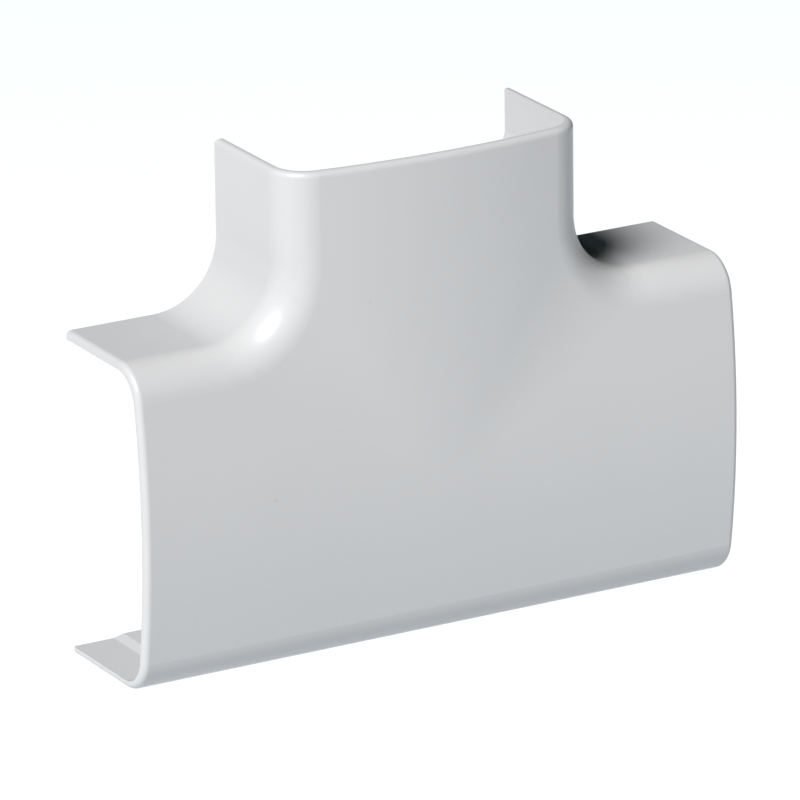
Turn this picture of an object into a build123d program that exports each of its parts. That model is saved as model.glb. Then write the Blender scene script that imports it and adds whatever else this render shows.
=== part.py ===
from build123d import *
from math import asin, degrees
import os

# Trunking tee fitting: one moulded plastic cover that slips over the joint where a branch
# trunking leaves a straight run of trunking on a wall. It is a thin shell, open to the wall
# and at its three mouths. Sizes are in millimetres.
# X runs along the straight trunking, Z up along the branch, and the wall is the plane Y = 0.
# The front of the cover faces -Y. The origin lies on the wall plane, at the middle of the
# run's lower edge.

# Outer sizes
run_length = 120.0          # left mouth to right mouth
run_height = 60.0           # across the run, from its underside to its top
branch_width = 60.0         # across the branch
branch_rise = 30.0          # from the run's top to the branch's mouth
depth = 28.4                # from the wall plane to the crest of the front
arch_radius = 162.0         # arch of the front, over the run and over the branch
mitre_radius = 100.0        # hollow rounding of the valleys where the two arches meet
front_radius = 7.2          # rounding between the front and the side walls
corner_radius = 12.8        # inner corners of the T, seen from the front

# Wall and mouths
wall = 1.95                 # moulded wall behind the mouths
lip_wall = 1.45             # thinner wall that laps over the trunking at each mouth
lip_length = 8.0            # how far the trunking slides in under the lip
ramp_length = 2.0           # slope from the lip up to the full wall, which stops the trunking
end_rounding = 1.1          # rounding of the outer edge of each mouth
rim_cut = 0.3               # cut corner where the back rim meets a mouth

# A mouth keeps a flat band on its end: the rounding takes at most this share of the lip
rounding_share = 0.8
# How far cutting shapes run past the faces that they cut
overrun = 2.0
# Places closer than this are the same, and faces that meet within it are joined
tolerance = 0.001

run_middle = run_height / 2
branch_top = run_height + branch_rise
half_run = run_length / 2
half_branch = branch_width / 2
# From the middle of the front to past the furthest mouth
reach = max(half_run, branch_top - run_middle) + 2 * overrun


def column(corners):
    """A part of the wall plane, given by its corners, run right through the cover's depth."""
    region = make_face(Polyline(*corners, close=True))
    return extrude(Plane.XZ.offset(depth + overrun) * region, amount=-3 * depth)


def mitre_channel(inset):
    """The track of a ball that rolls up the right-hand valley, touching both arches.

    The ball's centre stays as far from the axis of the one arch as from the other, so it
    follows an ellipse that stands upright over the diagonal between the run and the branch.
    """
    spine_radius = arch_radius + mitre_radius
    crossing = (0, arch_radius - depth, run_middle)
    over_diagonal = Plane(origin=crossing, x_dir=(1, 0, 1), z_dir=(-1, 0, 1))
    turn_out = degrees(asin(reach / spine_radius))
    turn_back = degrees(asin(overrun / spine_radius))
    spine = over_diagonal * EllipticalCenterArc(
        (0, 0),
        spine_radius * 2**0.5,
        spine_radius,
        start_angle=270 - turn_back,
        arc_size=turn_back + turn_out,
    )
    ball = Plane(origin=spine @ 0, z_dir=spine % 0) * Circle(mitre_radius + inset)
    return sweep(ball, path=spine)


def front_envelope(inset):
    """Everything behind the front, which lies inset further back than the outside.

    The run and the branch are each arched like a wide cylinder. The two arches touch in the
    middle of the run and part from there along two diagonal valleys, which are rounded.
    """
    arch = Cylinder(arch_radius - inset, 4 * reach)
    crossing = Pos(0, arch_radius - depth, run_middle)
    near = reach * (arch_radius - inset) / (arch_radius + mitre_radius)
    middle = (0, run_middle)
    run_right = (reach, run_middle + near)
    run_left = (-reach, run_middle + near)
    branch_right = (near, run_middle + reach)
    branch_left = (-near, run_middle + reach)
    below_run = [(reach, -overrun), (-reach, -overrun)]
    run = crossing * Rot(Y=90) * arch & column([middle, run_right, *below_run, run_left])
    branch = crossing * arch & column([middle, branch_right, branch_left])
    right_mitre = column([middle, run_right, branch_right]) - mitre_channel(inset)
    left_mitre = mirror(right_mitre, Plane.YZ)
    return run.fuse(branch, right_mitre, left_mitre, tol=tolerance).clean()


def tee_outline(inset, past_end):
    """The T seen from the front, with its walls moved in and its three ends moved out."""
    run = Pos(0, run_middle) * Rectangle(run_length + 2 * past_end, run_height - 2 * inset)
    branch_length = branch_top + past_end - run_middle
    branch_middle = run_middle + branch_length / 2
    branch = Pos(0, branch_middle) * Rectangle(branch_width - 2 * inset, branch_length)
    tee = run + branch
    corner = Vector(half_branch - inset, run_height - inset)
    inner_corners = [v for v in tee.vertices() if (Vector(abs(v.X), v.Y) - corner).length < tolerance]
    return fillet(inner_corners, corner_radius + inset)


def at_mouth(place, past_end):
    """Whether a place lies on the plane of one of the three ends, which are moved out."""
    from_side = abs(abs(place.X) - half_run - past_end)
    from_top = abs(place.Z - branch_top - past_end)
    return min(from_side, from_top) < tolerance


def tee_block(inset, past_end, past_wall):
    """A solid tee with an arched front and rounded front edges, inset from the outside."""
    outline = Plane.XZ.offset(-past_wall) * tee_outline(inset, past_end)
    block = extrude(outline, amount=depth + past_wall + overrun) & front_envelope(inset)
    sides = block.faces().filter_by(lambda f: abs(f.normal_at().Y) < tolerance)
    walls = sides.filter_by(lambda f: not at_mouth(f.center(), past_end))
    fronts = block.faces().filter_by(lambda f: f.normal_at().Y < -0.5)
    return fillet([e for e in walls.edges() if e in fronts.edges()], front_radius - inset)


def mouths():
    """Each open end as a plane that faces out of it, with half the width of its trunking."""
    left = Plane(origin=(-half_run, 0, run_middle), x_dir=(0, 0, 1), z_dir=(-1, 0, 0))
    right = Plane(origin=(half_run, 0, run_middle), x_dir=(0, 0, -1), z_dir=(1, 0, 0))
    top = Plane(origin=(0, 0, branch_top), x_dir=(1, 0, 0), z_dir=(0, 0, 1))
    return [(left, run_middle), (right, run_middle), (top, half_branch)]


def mouth_section(plane, half, inset):
    """The arched section of a mouth, moved in from the outside and run out past the wall."""
    side = half - inset
    radius = arch_radius - inset
    crest = inset - depth
    shoulder = crest + radius - (radius**2 - side**2) ** 0.5
    arch = ThreePointArc((-side, shoulder), (0, crest), (side, shoulder))
    walls = Polyline((side, shoulder), (side, overrun), (-side, overrun), (-side, shoulder))
    section = make_face([*arch.edges(), *walls.edges()])
    corners = section.vertices().group_by(Axis.Y)[0]
    return plane * fillet(corners, front_radius - inset)


def mouth_pocket(plane, half):
    """What is cut from a mouth: the pocket under the lip, and the ramp behind it."""
    entry = mouth_section(plane.offset(overrun), half, lip_wall)
    pocket = extrude(entry, amount=-lip_length - overrun)
    slope = (wall - lip_wall) / ramp_length
    foot = mouth_section(plane.offset(-lip_length), half, lip_wall)
    past_ramp = mouth_section(
        plane.offset(-lip_length - ramp_length - overrun),
        half,
        wall + slope * overrun,
    )
    ramp = loft([foot, past_ramp], ruled=True)
    return [pocket, ramp]


def outer_body():
    """The cover as a solid tee, with cut rim corners and rounded mouths."""
    body = tee_block(0, 0, 0)
    rim = body.edges().filter_by(lambda e: e.bounding_box().min.Y > -tolerance)
    body = chamfer(rim.filter_by(lambda e: at_mouth(e.center(), 0)), rim_cut)
    ends = body.faces().filter_by(lambda f: at_mouth(f.center(), 0))
    outer = ends.edges().filter_by(lambda e: e.bounding_box().min.Y < -rim_cut - tolerance)
    return fillet(outer, min(end_rounding, rounding_share * lip_wall))


def tee_cover():
    """The finished shell."""
    cover = outer_body() - tee_block(wall, overrun, overrun)
    for plane, half in mouths():
        for cutter in mouth_pocket(plane, half):
            cover -= cutter
    return cover


os.makedirs("parts", exist_ok=True)
cover = tee_cover()
cover.label = "tee_cover"
export_step(cover, "parts/tee_cover.step")
print("volume cm3", round(cover.volume / 1000, 2), "solids", len(cover.solids()))
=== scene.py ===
import logging
import math
from dataclasses import dataclass, field
from enum import Enum

import bpy
from mathutils import Matrix, Vector


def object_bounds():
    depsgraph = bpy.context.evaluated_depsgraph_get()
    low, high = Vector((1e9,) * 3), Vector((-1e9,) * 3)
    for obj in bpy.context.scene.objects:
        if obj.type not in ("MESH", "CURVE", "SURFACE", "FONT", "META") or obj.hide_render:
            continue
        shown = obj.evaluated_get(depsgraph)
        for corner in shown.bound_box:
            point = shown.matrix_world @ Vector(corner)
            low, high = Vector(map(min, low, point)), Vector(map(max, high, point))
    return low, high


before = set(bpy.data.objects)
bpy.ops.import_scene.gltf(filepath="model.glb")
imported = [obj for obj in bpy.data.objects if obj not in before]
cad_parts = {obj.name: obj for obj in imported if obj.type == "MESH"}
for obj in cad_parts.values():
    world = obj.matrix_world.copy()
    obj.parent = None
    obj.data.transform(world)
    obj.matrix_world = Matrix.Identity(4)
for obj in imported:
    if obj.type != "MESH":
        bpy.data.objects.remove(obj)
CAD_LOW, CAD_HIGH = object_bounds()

# Looks of a trunking tee fitting: one moulded plastic cover, over a pale studio floor.
# Sizes are in metres and angles in degrees, in the frame of the construction: X along the run,
# Z up the branch, and the front of the cover facing -Y.

Rgb = tuple[float, float, float]
Place = tuple[float, float, float]
Colour = Rgb | bpy.types.NodeSocket

LOG = logging.getLogger("tee_fitting")
COVER_NODE = "tee_cover"
# The middle range of a noise pattern, in which most of it lies
PATTERN_LOW = 0.3
PATTERN_HIGH = 0.7


class NodeKind(Enum):
    """The shader nodes that the finishes are made of."""

    COORDINATES = "ShaderNodeTexCoord"
    NOISE = "ShaderNodeTexNoise"
    VORONOI = "ShaderNodeTexVoronoi"
    RANGE = "ShaderNodeMapRange"
    COLOUR_MIX = "ShaderNodeMix"
    VECTOR_MATH = "ShaderNodeVectorMath"
    BUMP = "ShaderNodeBump"


class MaterialSheet:
    """A material's node tree, with short ways to add nodes and join them."""

    def __init__(self, name: str) -> None:
        """Starts a material with nothing but its shader and output.

        Args:
            name: the material's name.
        """
        self.material = bpy.data.materials.new(name)
        self.material.use_nodes = True
        self.tree = self.material.node_tree
        self.shader = self.tree.nodes["Principled BSDF"]

    def add(self, kind: NodeKind, **values: float) -> bpy.types.Node:
        """Adds a node and sets its number inputs.

        Args:
            kind: which node.
            **values: input names, with underscores for spaces, and their values.

        Returns:
            The new node.
        """
        node = self.tree.nodes.new(kind.value)
        for name, value in values.items():
            node.inputs[name.replace("_", " ")].default_value = value
        return node

    def join(self, source: bpy.types.NodeSocket, target: bpy.types.NodeSocket) -> None:
        """Joins an output to an input.

        Args:
            source: the output.
            target: the input.
        """
        self.tree.links.new(source, target)

    def bump(self, place: bpy.types.NodeSocket, pattern: bpy.types.Node, height: float) -> bpy.types.Node:
        """Raises the surface a little by a pattern.

        Args:
            place: where on the piece a point lies.
            pattern: the noise that gives the relief.
            height: how far the relief reaches.

        Returns:
            The bump's node, whose Normal input is still free.
        """
        relief = self.add(NodeKind.BUMP, Strength=1.0, Distance=height)
        self.join(place, pattern.inputs["Vector"])
        self.join(pattern.outputs["Fac"], relief.inputs["Height"])
        return relief

    def spread(self, source: bpy.types.NodeSocket, low: float, high: float) -> bpy.types.NodeSocket:
        """Maps a pattern's middle range to new limits.

        Args:
            source: the pattern, from 0 to 1.
            low: the value at the pattern's lower middle.
            high: the value at the pattern's upper middle.

        Returns:
            The mapped value.
        """
        node = self.add(
            NodeKind.RANGE,
            From_Min=PATTERN_LOW,
            From_Max=PATTERN_HIGH,
            To_Min=low,
            To_Max=high,
        )
        self.join(source, node.inputs["Value"])
        return node.outputs["Result"]

    def blend(
        self,
        first: Colour,
        second: Colour,
        share: bpy.types.NodeSocket,
    ) -> bpy.types.NodeSocket:
        """Blends two colours, each of which is plain or comes from another node.

        Args:
            first: the colour where the share is 0.
            second: the colour where the share is 1.
            share: the share of the second colour.

        Returns:
            The blended colour.
        """
        mix = self.add(NodeKind.COLOUR_MIX)
        mix.data_type = "RGBA"
        for name, colour in (("A", first), ("B", second)):
            if isinstance(colour, tuple):
                mix.inputs[name].default_value = (*colour, 1.0)
            else:
                self.join(colour, mix.inputs[name])
        self.join(share, mix.inputs["Factor"])
        return mix.outputs["Result"]


@dataclass(frozen=True)
class MouldedPlastic:
    """Pale grey plastic with a satin skin, as it leaves the mould."""

    colour: Rgb = (0.502, 0.504, 0.514)
    cloud_colour: Rgb = (0.494, 0.496, 0.506)
    cloud_scale: float = 28.0
    cloud_detail: float = 3.0
    cloud_roughness: float = 0.55
    fleck_colour: Rgb = (0.30, 0.30, 0.31)
    fleck_scale: float = 85.0
    fleck_reach: float = 0.04
    fleck_share: float = 0.35
    roughness: float = 0.31
    roughness_drift: float = 0.03
    grain_scale: float = 4200.0
    grain_detail: float = 2.0
    grain_height: float = 0.000004
    flow_scale: float = 55.0
    flow_detail: float = 1.0
    flow_height: float = 0.00002
    gloss: float = 0.5

    def build(self) -> bpy.types.Material:
        """Makes the material.

        Returns:
            The plastic's material.
        """
        sheet = MaterialSheet("moulded_plastic")
        place = sheet.add(NodeKind.COORDINATES).outputs["Object"]
        clouds = sheet.add(
            NodeKind.NOISE,
            Scale=self.cloud_scale,
            Detail=self.cloud_detail,
            Roughness=self.cloud_roughness,
        )
        sheet.join(place, clouds.inputs["Vector"])
        self._tint(sheet, place, clouds.outputs["Fac"])
        drift = sheet.spread(
            clouds.outputs["Fac"],
            self.roughness - self.roughness_drift,
            self.roughness + self.roughness_drift,
        )
        sheet.join(drift, sheet.shader.inputs["Roughness"])
        self._skin(sheet, place)
        sheet.shader.inputs["Specular IOR Level"].default_value = self.gloss
        return sheet.material

    def _tint(
        self,
        sheet: MaterialSheet,
        place: bpy.types.NodeSocket,
        clouds: bpy.types.NodeSocket,
    ) -> None:
        """Colours the plastic, with faint clouds where the melt set and a few faint flecks.

        Args:
            sheet: the material being made.
            place: where on the cover a point lies.
            clouds: the clouds, from 0 to 1.
        """
        tint = sheet.blend(self.colour, self.cloud_colour, sheet.spread(clouds, 0.0, 1.0))
        flecks = sheet.add(NodeKind.VORONOI, Scale=self.fleck_scale)
        sheet.join(place, flecks.inputs["Vector"])
        share = sheet.add(
            NodeKind.RANGE,
            From_Max=self.fleck_reach,
            To_Min=self.fleck_share,
            To_Max=0.0,
        )
        sheet.join(flecks.outputs["Distance"], share.inputs["Value"])
        tint = sheet.blend(tint, self.fleck_colour, share.outputs["Result"])
        sheet.join(tint, sheet.shader.inputs["Base Color"])

    def _skin(self, sheet: MaterialSheet, place: bpy.types.NodeSocket) -> None:
        """Gives the skin its fine grain and the slow waves of a moulded wall.

        Args:
            sheet: the material being made.
            place: where on the cover a point lies.
        """
        waves = sheet.add(NodeKind.NOISE, Scale=self.flow_scale, Detail=self.flow_detail)
        grain = sheet.add(NodeKind.NOISE, Scale=self.grain_scale, Detail=self.grain_detail)
        swell = sheet.bump(place, waves, self.flow_height)
        etch = sheet.bump(place, grain, self.grain_height)
        sheet.join(swell.outputs["Normal"], etch.inputs["Normal"])
        sheet.join(etch.outputs["Normal"], sheet.shader.inputs["Normal"])


@dataclass(frozen=True)
class StudioPaper:
    """Pale matt paper for the floor, greyer below the fitting's right as a painted shadow, and again far
    away as a painted fall-off of light.
    """

    colour: Rgb = (0.912, 0.955, 0.988)
    # Painted shadow: the paper turns greyer round a place below the fitting's right, where the fitting's
    # own shadow would fall.
    painted_shadow_colour: Rgb = (0.320, 0.368, 0.410)
    painted_shadow_place: tuple[float, float] = (0.20, 0.10)
    painted_shadow_reach: float = 0.42
    # Painted fall-off of light: the paper greys slowly away from the middle, as if the studio's light
    # dropped off outwards.
    painted_falloff_colour: Rgb = (0.435, 0.470, 0.495)
    painted_falloff_reach: float = 4.0
    fibre_scale: float = 300.0
    fibre_height: float = 0.00005
    roughness: float = 1.0

    def build(self, level: float) -> bpy.types.Material:
        """Makes the material.

        Args:
            level: the height at which the paper lies.

        Returns:
            The paper's material.
        """
        sheet = MaterialSheet("studio_paper")
        place = sheet.add(NodeKind.COORDINATES).outputs["Object"]
        self._fade(sheet, place, level)
        fibres = sheet.add(NodeKind.NOISE, Scale=self.fibre_scale)
        relief = sheet.bump(place, fibres, self.fibre_height)
        sheet.join(relief.outputs["Normal"], sheet.shader.inputs["Normal"])
        sheet.shader.inputs["Roughness"].default_value = self.roughness
        return sheet.material

    def _fade(self, sheet: MaterialSheet, place: bpy.types.NodeSocket, level: float) -> None:
        """Colours the paper, with a soft painted shadow below the fitting's right and a slow painted
        fall-off of light outwards.

        Args:
            sheet: the material being made.
            place: where on the floor a point lies.
            level: the height at which the paper lies.
        """
        # Painted shadow: greyer paper round a place below the fitting's right.
        painted_shadow_share = self._away(sheet, place, (*self.painted_shadow_place, level), self.painted_shadow_reach)
        # Painted fall-off of light: the paper greys slowly away from the middle.
        outwards = self._away(sheet, place, (0.0, 0.0, level), self.painted_falloff_reach)
        tint = sheet.blend(self.painted_shadow_colour, self.colour, painted_shadow_share)
        tint = sheet.blend(tint, self.painted_falloff_colour, outwards)
        sheet.join(tint, sheet.shader.inputs["Base Color"])

    def _away(
        self,
        sheet: MaterialSheet,
        place: bpy.types.NodeSocket,
        centre: Place,
        reach: float,
    ) -> bpy.types.NodeSocket:
        """Measures how far a point lies from a centre.

        Args:
            sheet: the material being made.
            place: where on the floor the point lies.
            centre: where the measure starts.
            reach: the distance at which it is full.

        Returns:
            The measure, which rises softly from 0 to 1.
        """
        distance = sheet.add(NodeKind.VECTOR_MATH)
        distance.operation = "DISTANCE"
        distance.inputs[1].default_value = centre
        sheet.join(place, distance.inputs[0])
        share = sheet.add(NodeKind.RANGE, From_Min=0.0, From_Max=reach)
        share.interpolation_type = "SMOOTHSTEP"
        sheet.join(distance.outputs["Value"], share.inputs["Value"])
        return share.outputs["Result"]


@dataclass
class TeeCover:
    """The moulded cover, whose shape comes whole from the construction."""

    finish: MouldedPlastic = field(default_factory=MouldedPlastic)

    def dress(self) -> bpy.types.Object:
        """Gives the cover its plastic.

        Returns:
            The cover's object.
        """
        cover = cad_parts[COVER_NODE]
        plastic = self.finish.build()
        for holder in cover.material_slots:
            holder.material = plastic
        return cover


@dataclass
class StudioFloor:
    """The pale floor, some way below the fitting, which hangs as if on its wall."""

    width: float = 8.0
    drop: float = 0.3
    finish: StudioPaper = field(default_factory=StudioPaper)

    def build(self) -> bpy.types.Object:
        """Lays the floor below the fitting.

        Returns:
            The floor's object.
        """
        level = CAD_LOW.z - self.drop
        bpy.ops.object.select_all(action="DESELECT")
        bpy.ops.mesh.primitive_plane_add(size=self.width, location=(0.0, 0.0, level))
        floor = bpy.context.active_object
        floor.name = "studio_floor"
        bpy.ops.object.transform_apply(location=True, rotation=True, scale=True)
        floor.data.materials.append(self.finish.build(level))
        return floor


@dataclass(frozen=True)
class DistantLamp:
    """A wide lamp so far off that it lights the fitting and the floor evenly.

    Its azimuth is counted from the fitting's front towards its right, and its strength is in
    watts per square metre.
    """

    name: str
    azimuth: float
    elevation: float
    spread: float
    strength: float
    colour: Rgb = (1.0, 1.0, 1.0)

    def hang(self, target: Vector) -> bpy.types.Object:
        """Turns the lamp towards the fitting.

        Args:
            target: the point that it is aimed at.

        Returns:
            The lamp's object.
        """
        turn = math.radians(self.azimuth)
        rise = math.radians(self.elevation)
        outwards = math.cos(rise)
        away = Vector((math.sin(turn) * outwards, -math.cos(turn) * outwards, math.sin(rise)))
        data = bpy.data.lights.new(self.name, "SUN")
        data.angle = math.radians(self.spread)
        data.energy = self.strength
        data.color = self.colour
        lamp = bpy.data.objects.new(self.name, data)
        bpy.context.scene.collection.objects.link(lamp)
        lamp.location = target + away
        lamp.rotation_euler = (-away).to_track_quat("-Z", "Y").to_euler()
        return lamp


@dataclass
class Studio:
    """The lamps and the dim room round the fitting."""

    room_colour: Rgb = (0.50, 0.90, 0.95)
    room_strength: float = 0.002
    lamps: tuple[DistantLamp, ...] = (
        DistantLamp(
            name="key_lamp",
            azimuth=-60.0,
            elevation=47.0,
            spread=22.0,
            strength=5.32,
            colour=(1.0, 0.996, 0.985),
        ),
        DistantLamp(
            name="front_fill",
            azimuth=-25.0,
            elevation=6.0,
            spread=40.0,
            strength=0.20,
        ),
        DistantLamp(
            name="back_fill",
            azimuth=170.0,
            elevation=12.0,
            spread=40.0,
            strength=0.05,
            colour=(0.40, 0.90, 1.0),
        ),
    )

    def build(self) -> None:
        """Sets the room's light and hangs the lamps."""
        world = bpy.data.worlds.new("studio_room")
        world.use_nodes = True
        room = world.node_tree.nodes["Background"]
        room.inputs["Color"].default_value = (*self.room_colour, 1.0)
        room.inputs["Strength"].default_value = self.room_strength
        bpy.context.scene.world = world
        bpy.context.scene.view_settings.view_transform = "Standard"
        middle = (CAD_LOW + CAD_HIGH) / 2
        for lamp in self.lamps:
            lamp.hang(middle)


@dataclass(frozen=True)
class PhotoCamera:
    """The camera as it stood for the photograph: to the left of the fitting and above it.

    It looks along the azimuth, counted from +Y towards +X, and down by the elevation.
    """

    place: Place = (-0.69368, -1.24672, 0.52713)
    azimuth: float = 29.32
    elevation: float = 18.98
    roll: float = -0.70
    lens: float = 381.5
    sensor: float = 36.0
    nearest: float = 0.01
    furthest: float = 100.0

    def build(self) -> bpy.types.Object:
        """Stands the camera and makes it the scene's own.

        Returns:
            The camera's object.
        """
        data = bpy.data.cameras.new("photo_camera")
        data.lens = self.lens
        data.sensor_width = self.sensor
        data.clip_start = self.nearest
        data.clip_end = self.furthest
        camera = bpy.data.objects.new("photo_camera", data)
        bpy.context.scene.collection.objects.link(camera)
        heading = Matrix.Rotation(-math.radians(self.azimuth), 4, "Z")
        tilt = Matrix.Rotation(math.radians(90.0 - self.elevation), 4, "X")
        lean = Matrix.Rotation(math.radians(self.roll), 4, "Z")
        camera.matrix_world = Matrix.Translation(self.place) @ heading @ tilt @ lean
        bpy.context.scene.camera = camera
        return camera


def main() -> None:
    """Builds the fitting's looks and the studio round it."""
    logging.basicConfig(level=logging.INFO, format="%(message)s")
    for maker in (TeeCover().dress, StudioFloor().build, PhotoCamera().build):
        made = maker()
        LOG.info("made %s", made.name)
    Studio().build()
    LOG.info("lit the studio")


if __name__ == "__main__":
    main()
